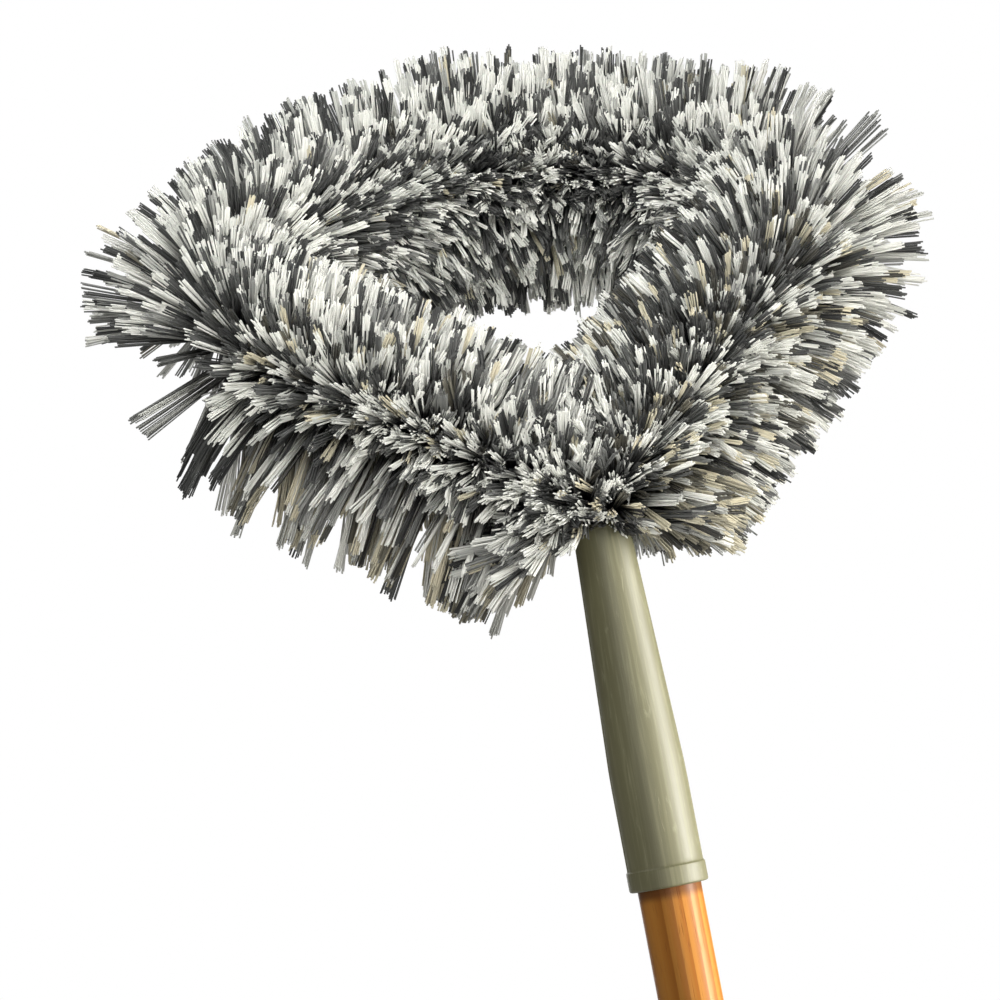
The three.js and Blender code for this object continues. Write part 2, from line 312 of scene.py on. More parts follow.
class Value:
    """A socket whose arithmetic adds Math nodes to the tree that it belongs to."""

    def __init__(self, nodes, socket):
        self.nodes = nodes
        self.socket = socket

    def maths(self, operation, *terms):
        return self.nodes.add("ShaderNodeMath", {"operation": operation}, dict(enumerate(terms)))

    def __add__(self, other):
        return self.maths("ADD", self, other)

    def __radd__(self, other):
        return self.maths("ADD", other, self)

    def __sub__(self, other):
        return self.maths("SUBTRACT", self, other)

    def __rsub__(self, other):
        return self.maths("SUBTRACT", other, self)

    def __mul__(self, other):
        return self.maths("MULTIPLY", self, other)

    def __rmul__(self, other):
        return self.maths("MULTIPLY", other, self)


class Nodes:
    """The nodes of one material or world."""

    def __init__(self, tree):
        self.tree = tree

    def add(self, kind, settings=None, sockets=None, output=0):
        """Adds a node: its settings first, then the values or links of its sockets."""
        node = self.tree.nodes.new(kind)
        for name, value in (settings or {}).items():
            if name == "stops":
                self.set_stops(node.color_ramp.elements, value)
            else:
                setattr(node, name, value)
        for key, value in (sockets or {}).items():
            self.feed(node.inputs[key], value)
        return Value(self, node.outputs[output])

    def feed(self, socket, value):
        if isinstance(value, Value):
            self.tree.links.new(value.socket, socket)
        else:
            socket.default_value = value

    @staticmethod
    def set_stops(elements, stops):
        while len(elements) < len(stops):
            elements.new(1.0)
        for element, (position, colour) in zip(elements, stops):
            element.position = position
            element.color = colour

    def place(self, stretch):
        """The piece's own coordinates, stretched along each axis."""
        own = self.add("ShaderNodeTexCoord", output="Object")
        return self.add("ShaderNodeVectorMath", {"operation": "MULTIPLY"}, {0: own, 1: stretch})

    def noise(self, stretch, detail=3.0, roughness=0.55, distortion=0.0):
        sockets = {"Vector": self.place(stretch), "Scale": 1.0, "Detail": detail,
                   "Roughness": roughness, "Distortion": distortion}
        return self.add("ShaderNodeTexNoise", None, sockets, "Fac")

    def span(self, value, low, high):
        """0 at `low`, 1 at `high`, with soft ends."""
        settings = {"interpolation_type": "SMOOTHSTEP"}
        return self.add("ShaderNodeMapRange", settings, {"Value": value, "From Min": low, "From Max": high})

    def mix(self, share, first, second, blend="MIX"):
        settings = {"data_type": "RGBA", "blend_type": blend}
        return self.add("ShaderNodeMix", settings, {0: share, 6: first, 7: second}, 2)

    def height(self):
        """Height in the piece's own coordinates."""
        own = self.add("ShaderNodeTexCoord", output="Object")
        return self.add("ShaderNodeSeparateXYZ", None, {0: own}, "Z")

    def bump(self, level, distance, strength=1.0):
        sockets = {"Height": level, "Distance": distance, "Strength": strength}
        return self.add("ShaderNodeBump", None, sockets)


class Finish(Nodes):
    """One material: a Principled shader and whatever feeds it."""

    def __init__(self, name, **plain):
        self.material = bpy.data.materials.new(name)
        self.material.use_nodes = True
        super().__init__(self.material.node_tree)
        self.shader = self.tree.nodes["Principled BSDF"]
        for socket, value in plain.items():
            self.coat(socket.replace("_", " ").title(), value)

    def coat(self, socket, value):
        self.feed(self.shader.inputs[socket], value)


def lacquered_wood():
    """Honey-coloured wood under clear lacquer: long fibres, pores, growth lines and a painted shadow band at
    the mouth.
    """
    finish = Finish("lacquered_wood")
    off_axis = finish.add("ShaderNodeVectorMath", {"operation": "ADD"},
                          {0: finish.place((1.0, 1.0, 0.02)), 1: (0.031, 0.017, 0.0)})
    growth = finish.add(
        "ShaderNodeTexWave",
        {"wave_type": "RINGS", "rings_direction": "Z", "wave_profile": "SAW"},
        {"Vector": off_axis, "Scale": 95.0, "Distortion": 2.6, "Detail": 2.0, "Detail Scale": 0.35},
        "Fac",
    )
    fibres = finish.noise((1500.0, 1500.0, 26.0), detail=4.0, roughness=0.62)
    pores = finish.span(finish.noise((2600.0, 2600.0, 95.0), detail=2.0), 0.62, 0.72)
    blotch = finish.noise((45.0, 45.0, 7.0), detail=2.0)
    pale = finish.mix(blotch, paint(143, 93, 32), paint(156, 106, 42))
    deep = finish.mix(blotch, paint(117, 68, 15), paint(130, 80, 23))
    grain = finish.mix(finish.span(growth, 0.15, 0.95), pale, deep)
    grain = finish.mix(finish.span(fibres, 0.42, 0.72) * 0.35, grain, paint(142, 80, 20))
    grain = finish.mix(pores * 0.5, grain, paint(92, 48, 12))
    height = finish.height()
    # Painted shadow: a dark band round the pole just below the socket's mouth, fading out above it inside the
    # socket
    faint, full = MOUTH_SHADOW_BELOW
    mouth_shadow = finish.span(height, MOUTH_HEIGHT - faint, MOUTH_HEIGHT - full)
    mouth_shadow = mouth_shadow - finish.span(height, MOUTH_HEIGHT, MOUTH_HEIGHT + MOUTH_SHADOW_ABOVE)
    grain = finish.mix(mouth_shadow * MOUTH_SHADOW_SHARE, grain, paint(74, 40, 12))
    finish.coat("Base Color", grain)
    finish.coat("Roughness", 0.5 + fibres * 0.16 + pores * 0.15)
    finish.coat("Coat Weight", 0.08 - pores * 0.06)
    finish.coat("Coat Roughness", 0.3)
    finish.coat("Specular IOR Level", 0.12)
    finish.coat("Normal", finish.bump(fibres * 0.4 - pores, 0.06 * MM, 0.7))
    return finish.material


def moulded_plastic():
    """Satin olive-grey plastic with a fine moulded grain, faint draw lines and scuffs."""
    finish = Finish("moulded_plastic")
    cloud = finish.noise((60.0, 60.0, 24.0), detail=3.0)
    draw_lines = finish.noise((900.0, 900.0, 14.0), detail=3.0)
    grain = finish.noise((3200.0, 3200.0, 3200.0), detail=2.0)
    scuffs = finish.span(finish.noise((420.0, 420.0, 70.0), detail=5.0, distortion=1.4), 0.6, 0.75)
    olive = finish.mix(cloud, paint(74, 72, 46), paint(86, 83, 56))
    olive = finish.mix(finish.span(draw_lines, 0.45, 0.75) * 0.16, olive, paint(150, 149, 118))
    olive = finish.mix(scuffs * 0.18, olive, paint(160, 158, 132))
    finish.coat("Base Color", olive)
    finish.coat("Roughness", 0.5 + draw_lines * 0.14 + scuffs * 0.12)
    finish.coat("Normal", finish.bump(grain * 0.5 + draw_lines + scuffs * 0.6, 0.05 * MM, 0.6))
    return finish.material


def drawn_steel():
    """Bright drawn wire with fine lengthwise marks and a dull film."""
    finish = Finish("drawn_steel", metallic=1.0)
    marks = finish.noise((900.0, 900.0, 900.0), detail=4.0)
    film = finish.noise((140.0, 140.0, 140.0), detail=3.0)
    steel = finish.mix(finish.span(film, 0.4, 0.7), paint(168, 168, 164), paint(122, 121, 116))
    finish.coat("Base Color", steel)
    finish.coat("Roughness", 0.26 + marks * 0.2 + film * 0.12)
    finish.coat("Normal", finish.bump(marks, 0.03 * MM, 0.5))
    return finish.material


def filament_fibre():
    """Grey and white filaments: each has one shade, with painted shade darkening it towards its root, where
    the dense bed would shadow it, and paler towards its trimmed tip.
    """
    finish = Finish("filament_fibre", roughness=0.5)
    shade = finish.add("ShaderNodeAttribute", {"attribute_name": "shade"}, output="Fac")
    along = finish.add("ShaderNodeAttribute", {"attribute_name": "along"}, output="Fac")
    warmth = finish.add("ShaderNodeAttribute", {"attribute_name": "warmth"}, output="Fac")
    stops = [(0.0, paint(34, 35, 34)), (0.3, paint(108, 109, 106)),
             (0.62, paint(200, 201, 194)), (1.0, paint(230, 230, 223))]
    tone = finish.add("ShaderNodeValToRGB", {"stops": stops}, {"Fac": shade}, "Color")
    # Painted shade and light: the warm tint stands in for the browner shade under the ring and the beige
    # light on its right
    tone = finish.mix(warmth * 0.75, tone, paint(224, 212, 180), "MULTIPLY")
    # Painted shade: strands darken towards their roots, standing in for the shadow deep in the bed
    root = 1 - finish.span(along, 0.4, 0.95)
    tone = finish.mix(root * 0.85, tone, paint(84, 84, 80), "MULTIPLY")
    finish.coat("Base Color", tone)
    return finish.material


def floor_paper():
    """Pale, slightly uneven studio paper, with a glow that keeps it pale beyond the lights."""
    finish = Finish("floor_paper", roughness=0.85, emission_strength=FLOOR_GLOW)
    tooth = finish.noise((180.0, 180.0, 180.0), detail=4.0)
    paper = finish.mix(tooth, paint(146, 146, 145), paint(152, 152, 151))
    glow = finish.mix(tooth, paint(249, 249, 248), paint(254, 254, 253))
    finish.coat("Base Color", paper)
    finish.coat("Emission Color", glow)
    finish.coat("Normal", finish.bump(tooth, 0.2 * MM, 0.3))
    return finish.material


def add_piece(name, mesh, material, body, slot, *nodes):
    """A piece of the brush that rides on a body and stands for CAD nodes."""
    piece = bpy.data.objects.new(name, mesh)
    bpy.context.scene.collection.objects.link(piece)
    mesh.materials.append(material)
    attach(piece, body)
    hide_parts(*nodes)
    return piece


def smooth(mesh, angle=math.radians(40)):
    mesh.shade_smooth()
    mesh.set_sharp_from_angle(angle=angle)


def mesh_from(form, name):
    """The mesh of a form that is no longer needed."""
    mesh = bpy.data.meshes.new(name)
    form.to_mesh(mesh)
    form.free()
    return mesh


def arc(across, up, radius, first, last, steps=6):
    """Profile points round a corner, with the angles in degrees."""
    angles = np.radians(np.linspace(first, last, steps + 1))
    return [(across + radius * math.cos(a), up + radius * math.sin(a)) for a in angles]


def tapered(low, high, shares):
    """Profile points on the straight line from one (radius, height) to another."""
    return [(low[0] + (high[0] - low[0]) * t, low[1] + (high[1] - low[1]) * t) for t in shares]


def turned_mesh(name, profile, angles):
    """A profile of (radius, height) turned about +Z at the angles given."""
    form = bmesh.new()
    rings = []
    for radius, height in profile:
        if radius < NO_RADIUS:
            rings.append([form.verts.new((0, 0, height))])
        else:
            rings.append([form.verts.new((radius * math.cos(angle), radius * math.sin(angle), height))
                          for angle in angles])
    count = len(angles)
    for low, high in zip(rings, rings[1:]):
        for i in range(count):
            j = (i + 1) % count
            corners = [low[i % len(low)], low[j % len(low)], high[j % len(high)], high[i % len(high)]]
            form.faces.new(dict.fromkeys(corners))
    bmesh.ops.recalc_face_normals(form, faces=form.faces)
    return mesh_from(form, name)


def make_pole():
    """Turned pole: round butt, straight shaft and the long taper that goes into the socket."""
    length = pole_high.z
    inner = POLE_RADIUS - POLE_BUTT_ROUND
    taper_end = (POLE_TIP_RADIUS, length - POLE_TIP_CHAMFER)
    profile = [(0, 0), (inner * 0.5, 0)]
    profile += arc(inner, POLE_BUTT_ROUND, POLE_BUTT_ROUND, -90, 0, 10)
    profile += [(POLE_RADIUS, z) for z in np.linspace(SHAFT_START, MOUTH_HEIGHT, SHAFT_RINGS)]
    profile += tapered((POLE_RADIUS, MOUTH_HEIGHT), taper_end, POLE_TAPER_SHARES)
    profile += [(POLE_TIP_RADIUS - POLE_TIP_CHAMFER, length), (0, length)]
    mesh = turned_mesh("pole_turned", profile, np.linspace(0, 2 * math.pi, POLE_SIDES, endpoint=False))
    smooth(mesh)
    return add_piece("pole_turned", mesh, lacquered_wood(), "pole", "pole_wood", "pole")


def slot_prism(half_width, half_depth, low, high):
    """A solid with round-ended outline, used to cut the stems' way through the socket."""
    form = bmesh.new()
    middle = half_width - half_depth
    ends = [(middle, -90, 90), (-middle, 90, 270)]
    outline = [point for x, first, last in ends for point in arc(x, 0, half_depth, first, last, 12)]
    floor = form.faces.new([form.verts.new((x, y, low)) for x, y in outline])
    lifted = bmesh.ops.extrude_face_region(form, geom=[floor])["geom"]
    tops = [v for v in lifted if isinstance(v, bmesh.types.BMVert)]
    bmesh.ops.translate(form, verts=tops, vec=(0, 0, high - low))
    bmesh.ops.recalc_face_normals(form, faces=form.faces)
    return bpy.data.objects.new("slot_prism", mesh_from(form, "slot_prism"))


def cut(mesh, cutters):
    """The mesh with the cutters' space taken out of it."""
    block = bpy.data.objects.new("block", mesh)
    scene = bpy.context.scene.collection.objects
    scene.link(block)
    for cutter in cutters:
        scene.link(cutter)
        opening = block.modifiers.new("opening", "BOOLEAN")
        opening.operation, opening.solver, opening.object = "DIFFERENCE", "EXACT", cutter
    shaped = block.evaluated_get(bpy.context.evaluated_depsgraph_get())
    result = bpy.data.meshes.new_from_object(shaped)
    for helper in (block, *cutters):
        bpy.data.objects.remove(helper)
    return result


def make_socket():
    """Moulded socket: mouth collar, straight skirt, long taper and round shoulder, with two mould lines."""
    length = SOCKET_TOP - MOUTH_HEIGHT
    bore_mouth = POLE_RADIUS + FIT_GAP
    collar = socket_high.x
    shoulder = SOCKET_TOP_RADIUS - SOCKET_TOP_ROUND
    taper_top = length - SOCKET_TOP_ROUND
    profile = [(0, BORE_DEPTH), (POLE_TIP_RADIUS + FIT_GAP, BORE_DEPTH), (bore_mouth, MOUTH_CHAMFER),
               (bore_mouth + MOUTH_CHAMFER, 0)]
    profile += arc(collar - COLLAR_ROUND, COLLAR_ROUND, COLLAR_ROUND, -90, 0)
    profile += arc(collar - COLLAR_EDGE, COLLAR_HEIGHT - COLLAR_EDGE, COLLAR_EDGE, 0, 60, 4)
    profile += [(SOCKET_SKIRT_RADIUS, COLLAR_HEIGHT + COLLAR_EDGE)]
    skirt_heights = np.linspace(COLLAR_HEIGHT + 2 * MM, SOCKET_SKIRT_LENGTH - 4 * MM, SOCKET_SKIRT_RINGS)
    profile += [(SOCKET_SKIRT_RADIUS, height) for height in skirt_heights]
    profile += tapered((SOCKET_SKIRT_RADIUS, SOCKET_SKIRT_LENGTH), (SOCKET_TOP_RADIUS, taper_top),
                       SOCKET_TAPER_SHARES)
    profile += arc(shoulder, taper_top, SOCKET_TOP_ROUND, 0, 90, 10)
    profile += [(0, length)]
    spread = np.linspace(0, 2 * math.pi, SOCKET_SIDES, endpoint=False)
    seam = np.radians(np.array(SEAM_DEGREES))
    angles = np.sort(np.concatenate([spread, seam % (2 * math.pi), seam + math.pi]))
    mesh = turned_mesh("socket_shell", profile, angles)
    for vertex in mesh.vertices:
        x, y, z = vertex.co
        outside = math.hypot(x, y) > SOCKET_TOP_RADIUS - ROUNDING and COLLAR_HEIGHT < z < taper_top
        if outside and abs(y) < SEAM_HALF_WIDTH:
            vertex.co.x += math.copysign(SEAM_PROUD, x)
    stem_depth = WIRE_OFFSET + WIRE_RADIUS + FIT_GAP
    stem_width = STEM_OFFSET + stem_depth
    wall = SLEEVE_WALL + FIT_GAP
    pocket = slot_prism(stem_width + wall, stem_depth + wall, BORE_DEPTH - CUT_PAST, CHANNEL_START)
    channel = slot_prism(stem_width, stem_depth, CHANNEL_START - CUT_PAST, length + CUT_PAST)
    mesh = cut(mesh, [pocket, channel])
    mesh.name = "socket_shell"
    mesh.transform(Matrix.Translation((0, 0, MOUTH_HEIGHT)))
    smooth(mesh)
    return add_piece("socket_shell", mesh, moulded_plastic(), "head", "socket_plastic", "socket")


def unit(rows):
    """Rows of vectors, each brought to length 1."""
    return rows / np.linalg.norm(rows, axis=1, keepdims=True)


class CorePath:
    """The line that the two wires twist round: up one stem, round the ring and down the other stem."""

    def __init__(self, start, heading):
        self.at, self.heading = np.array(start), np.array(heading)
        self.runs, self.length = [], 0.0

    def straight(self, length):
        self.runs.append((self.length, length, self.at, self.heading, None, None))
        self.at = self.at + self.heading * length
        self.length += length

    def bend(self, target, radius):
        turn = math.acos(float(self.heading @ target))
        side = target - self.heading * float(self.heading @ target)
        side = side / np.linalg.norm(side)
        self.runs.append((self.length, turn * radius, self.at, self.heading, side, radius))
        self.at = self.at + self.heading * radius * math.sin(turn) + side * radius * (1 - math.cos(turn))
        self.heading = target
        self.length += turn * radius

    def places(self, distances):
        """Points on the line and the directions along it."""
        points, along = np.zeros((len(distances), 3)), np.zeros((len(distances), 3))
        for start, length, at, heading, side, radius in self.runs:
            on = (distances >= start - RUN_SLACK) & (distances <= start + length + RUN_SLACK)
            gone = (distances[on] - start)[:, None]
            if side is None:
                points[on], along[on] = at + heading * gone, heading
            else:
                swept = gone / radius
                points[on] = at + heading * radius * np.sin(swept) + side * radius * (1 - np.cos(swept))
                along[on] = heading * np.cos(swept) + side * np.sin(swept)
        return points, along

    def across(self, along):
        """Two directions square to the line: out of the ring's face, and beside it."""
        face = unit(RING_FACE - along * (along @ RING_FACE)[:, None])
        return face, np.cross(along, face)


def lay_core():
    """The core's line, where its right arm ends, the length of a turn, and where the filaments start."""
    ring_up = np.array((0.0, math.sin(RING_TILT), math.cos(RING_TILT)))

    def heading(across, up):
        return np.array((1.0, 0.0, 0.0)) * across + ring_up * up

    sine, cosine = math.sin(ARM_ANGLE), math.cos(ARM_ANGLE)
    turn_across = RING_WIDTH / 2 - TURN_RADIUS
    turn_up = (TURN_RADIUS + turn_across * cosine) / sine
    crown_drop = (turn_across ** 2 - CROWN_RISE ** 2) / (2 * CROWN_RISE)
    crown_radius = TURN_RADIUS + CROWN_RISE + crown_drop
    crown_start = math.atan2(crown_drop, turn_across)
    arm_length = turn_across * sine + turn_up * cosine

    foot = MOUTH_HEIGHT + BORE_DEPTH + STEM_TAIL
    path = CorePath((STEM_OFFSET, 0.0, foot), (0.0, 0.0, 1.0))
    stem = SOCKET_TOP + STEM_RISE - foot
    path.straight(stem)
    path.bend(heading(sine, cosine), STEM_BEND_RADIUS)
    arm_run = arm_length - path.at[0] / sine
    path.straight(arm_run)
    arm_end = path.length
    path.bend(heading(-math.sin(crown_start), math.cos(crown_start)), TURN_RADIUS)
    turn = path.length - arm_end
    path.bend(heading(-math.sin(crown_start), -math.cos(crown_start)), crown_radius)
    path.bend(heading(sine, -cosine), TURN_RADIUS)
    path.straight(arm_run)
    path.bend(np.array((0.0, 0.0, -1.0)), STEM_BEND_RADIUS)
    path.straight(stem)
    return path, arm_end, turn, arm_end - arm_length + BRISTLE_START


core, arm_end, turn_length, bristle_start = lay_core()


def make_wire(name, node, side, material):
    """One of the two wires, wound round the core's line."""
    turns = core.length / TWIST_PITCH
    distances = np.linspace(0, core.length, int(turns * TWIST_STEPS))
    points, along = core.places(distances)
    face, beside = core.across(along)
    twist = (2 * math.pi * distances / TWIST_PITCH)[:, None]
    points = points + side * WIRE_OFFSET * (np.cos(twist) * beside - np.sin(twist) * face)
    run = unit(np.gradient(points, axis=0))
    face = unit(face - run * np.sum(face * run, axis=1, keepdims=True))
    beside = np.cross(run, face)
    angles = np.linspace(0, 2 * math.pi, WIRE_SIDES, endpoint=False)
    rings = [points + WIRE_RADIUS * (math.cos(a) * face + math.sin(a) * beside) for a in angles]
    vertices = np.stack(rings, axis=1).reshape(-1, 3)
    last = (len(distances) - 1) * WIRE_SIDES
    edges = [(i, (i + 1) % WIRE_SIDES) for i in range(WIRE_SIDES)]
    faces = [(low + i, low + j, low + WIRE_SIDES + j, low + WIRE_SIDES + i)
             for low in range(0, last, WIRE_SIDES) for i, j in edges]
    faces.append(tuple(reversed(range(WIRE_SIDES))))
    faces.append(tuple(range(last, last + WIRE_SIDES)))
    mesh = bpy.data.meshes.new(name)
    mesh.from_pydata(vertices.tolist(), [], faces)
    smooth(mesh)
    return add_piece(name, mesh, material, "head", "core_steel", node)


def degrees_round(angle):
    """An angle round the core in degrees, from -180 to 180."""
    return np.degrees((angle + math.pi) % (2 * math.pi) - math.pi)


def within(place, angle, first, last, low, high, soft_place=0.0, soft_angle=0.0):
    """1 inside a patch of the bed, given in mm along the core and degrees round it, and 0 outside."""
    def share(value, start, stop, soft):
        if soft == 0:
            return ((value > start) & (value < stop)).astype(float)
        return np.clip(np.minimum(value - start, stop - value) / soft + 0.5, 0, 1)
    return share(place / MM, first, last, soft_place) * share(degrees_round(angle), low, high, soft_angle)


def floor_reach(place, points, out):
    """How far a filament may reach before it hangs below the fringe's floor or stands too far in front."""
    limit = np.full(len(place), np.inf)
    for side, (start, rise) in FLOOR_LINES.items():
        gone = place if side > 0 else core.length - place
        slope = out[:, 2] - rise * side * out[:, 0]
        height = points[:, 2] - rise * side * points[:, 0] - (SOCKET_TOP + start)
        over = (gone < bristle_start + FLOOR_LENGTH) & (slope < 0)
        steep = (gone < bristle_start + STEEP_LENGTH) & (out[:, 2] < STEEP_FALL)
        limit[over] = height[over] / -slope[over]
        limit[steep] = 0
    ahead = out[:, 1] < 0
    front = cad_box[0].y - FRONT_MARGIN
    limit[ahead] = np.minimum(limit[ahead], (points[ahead, 1] - front) / -out[ahead, 1])
    return limit


def filament_reach(place, angle, along, out):
    """How far each filament reaches: trimmed round outside, with its own reach into the ring's middle."""
    inward = np.clip(np.sum(out * np.cross(RING_FACE, along), axis=1), 0, 1)
    turns = (arm_end, arm_end + turn_length, core.length - arm_end - turn_length, core.length - arm_end)
    reach = BRISTLE_REACH + (np.interp(place, turns, INNER_REACH) - BRISTLE_REACH) * inward ** 2
    for *patch, extra in TRIMS:
        reach += extra * MM * within(place, angle, *patch, *TRIM_EDGES)
    return reach


def strand_mesh(name, points, radii, spin, shade, warmth):
    """Three-sided strands along points of shape (strands, rings, 3), as one mesh."""
    strands, rings = points.shape[:2]
    run = unit(points[:, -1] - points[:, 0])
    upright = np.abs(run[:, 2:3]) > UPRIGHT
    first = unit(np.cross(run, np.where(upright, np.array([[1.0, 0, 0]]), np.array([[0, 0, 1.0]]))))
    second = np.cross(run, first)
    corners = []
    for i in range(3):
        angle = (spin + 2 * math.pi * i / 3)[:, None]
        way = np.cos(angle) * first + np.sin(angle) * second
        corners.append(points + way[:, None, :] * radii[:, :, None])
    vertices = np.stack(corners, axis=2).reshape(-1, 3)

    base = (np.arange(strands) * rings * 3)[:, None]
    wall = np.array([(3 * k + i, 3 * k + (i + 1) % 3, 3 * k + 3 + (i + 1) % 3, 3 * k + 3 + i)
                     for k in range(rings - 1) for i in range(3)])
    last = 3 * (rings - 1)
    ends = np.array([(2, 1, 0), (last, last + 1, last + 2)])
    local = np.concatenate([wall.ravel(), ends.ravel()])
    loops = (base + local[None, :]).ravel()
    sizes = np.array([4] * len(wall) + [3] * len(ends))
    totals = np.tile(sizes, strands)
    mesh = bpy.data.meshes.new(name)
    mesh.vertices.add(len(vertices))
    mesh.vertices.foreach_set("co", vertices.ravel())
    mesh.loops.add(len(loops))
    mesh.loops.foreach_set("vertex_index", loops)
    mesh.polygons.add(len(totals))
    mesh.polygons.foreach_set("loop_start", np.concatenate([[0], np.cumsum(totals)[:-1]]))
    mesh.update(calc_edges=True)
    mesh.shade_smooth()

    along = np.tile(np.repeat(np.linspace(0, 1, rings), 3), strands)
    per_vertex = {"shade": np.repeat(shade / (SHADE_STEPS - 1), rings * 3), "along": along,
                  "warmth": np.repeat(warmth.astype(float), rings * 3)}
    for attribute, values in per_vertex.items():
        mesh.attributes.new(attribute, "FLOAT", "POINT").data.foreach_set("value", values)

    # The OFBake map has a column for each shade, plain or warm-tinted, which its strands share
    columns = 2 * SHADE_STEPS
    column = (shade + SHADE_STEPS * warmth) / columns
    left, middle, right, margin = 0.2, 0.5, 0.8, 0.02
    edge = np.concatenate([np.tile([left, right, right, left], len(wall)),
                           np.tile([left, middle, right], len(ends))])
    across = np.repeat(column, len(local)) + np.tile(edge, strands) * (1 / columns)
    upward = margin + (1 - 2 * margin) * along[loops]
    baked = mesh.uv_layers.new(name="OFBake")
    baked.data.foreach_set("uv", np.stack([across, upward], axis=1).ravel())
    return mesh


def bare(place, angle):
    """True for tufts that the fringe's gaps leave out."""
    out = np.zeros(len(place), bool)
    for gap in FRINGE_GAPS:
        out |= within(place, angle, *gap) > 0
    return out


def skirt_lobe(place, angle):
    """Which lobe of the skirt a tuft is in, and where it stands across the lobe, from -1 to 1."""
    seen = place / MM - SKIRT_SLANT * (degrees_round(angle) - SKIRT_ANGLE)
    partings = np.array(SKIRT_PARTINGS)
    lobe = np.clip(np.searchsorted(partings, seen) - 1, 0, len(partings) - 2)
    first, last = partings[lobe], partings[lobe + 1]
    return lobe, np.clip((2 * seen - first - last) / (last - first), -1, 1)


def face_angle(place):
    """The angle at which tufts stand out of the ring's front."""
    return np.radians(np.interp(place / MM, FACE_PLACES, FACE_DEGREES))


def tuft_angles(place, quarter, rng):
    """Angles round the core: in the twist's two lobes, or loose between them."""
    count = len(place)
    side = np.where(rng.random(count) < 0.5, 0, math.pi)
    lobe = math.pi / 2 - 2 * math.pi * place / TWIST_PITCH + side
    off_lobe = rng.uniform(-LOBE_HALF, LOBE_HALF, count) + rng.normal(0, LOBE_SCATTER, count)
    in_lobe = lobe + np.radians(off_lobe)
    anywhere = rng.uniform(-math.pi, math.pi, count)
    bunch = face_angle(place) + np.radians(rng.normal(0, BUNCH_SPREAD, count))
    anywhere = np.where(rng.random(count) < BUNCH_SHARE[quarter], bunch, anywhere)
    in_fringe = within(place, anywhere, 0, core.length / MM, *FRINGE) > 0
    loose = rng.random(count) < np.where(in_fringe, LOOSE_IN_FRINGE[quarter], LOOSE_IN_FACE)
    return np.where(loose, anywhere, in_lobe)


def shade_shares():
    """How often each shade turns up, from dark grey to white."""
    level = np.linspace(0, 1, SHADE_STEPS)
    shares = sum(weight * np.exp(-0.5 * ((level - middle) / width) ** 2) / width
                 for middle, width, weight in SHADE_HUMPS)
    return shares / shares.sum()


def tuft_shades(place, angle, rng):
    """Shades of tufts, from dark grey to white: mixed all over, with darker and paler patches that paint in
    shade and light.
    """
    count = len(place)
    shade = rng.choice(SHADE_STEPS, count, p=shade_shares())
    dark, pale, dull = (rng.integers(*steps, count) for steps in (DARK_SHADES, PALE_SHADES, DULL_SHADES))
    # Painted shade and painted light: tufts in these patches turn dark or pale
    for *patch, turned in PAINTED_LIGHT_AND_SHADE:
        swapped = rng.random(count) < abs(turned) * within(place, angle, *patch, *TONE_EDGES)
        shade = np.where(swapped, pale if turned > 0 else dark, shade)
    for patch in DULL_PATCHES:
        swapped = rng.random(count) < DULL_SHARE * within(place, angle, *patch)
        shade = np.where(swapped, dull, shade)
    lobe, across = skirt_lobe(place, angle)
    in_skirt = within(place, angle, *SKIRT) > 0
    shade = np.where(in_skirt & (np.abs(across) > PARTING_EDGE), pale, shade)
    return np.where(in_skirt & (lobe == 0), dark, shade)


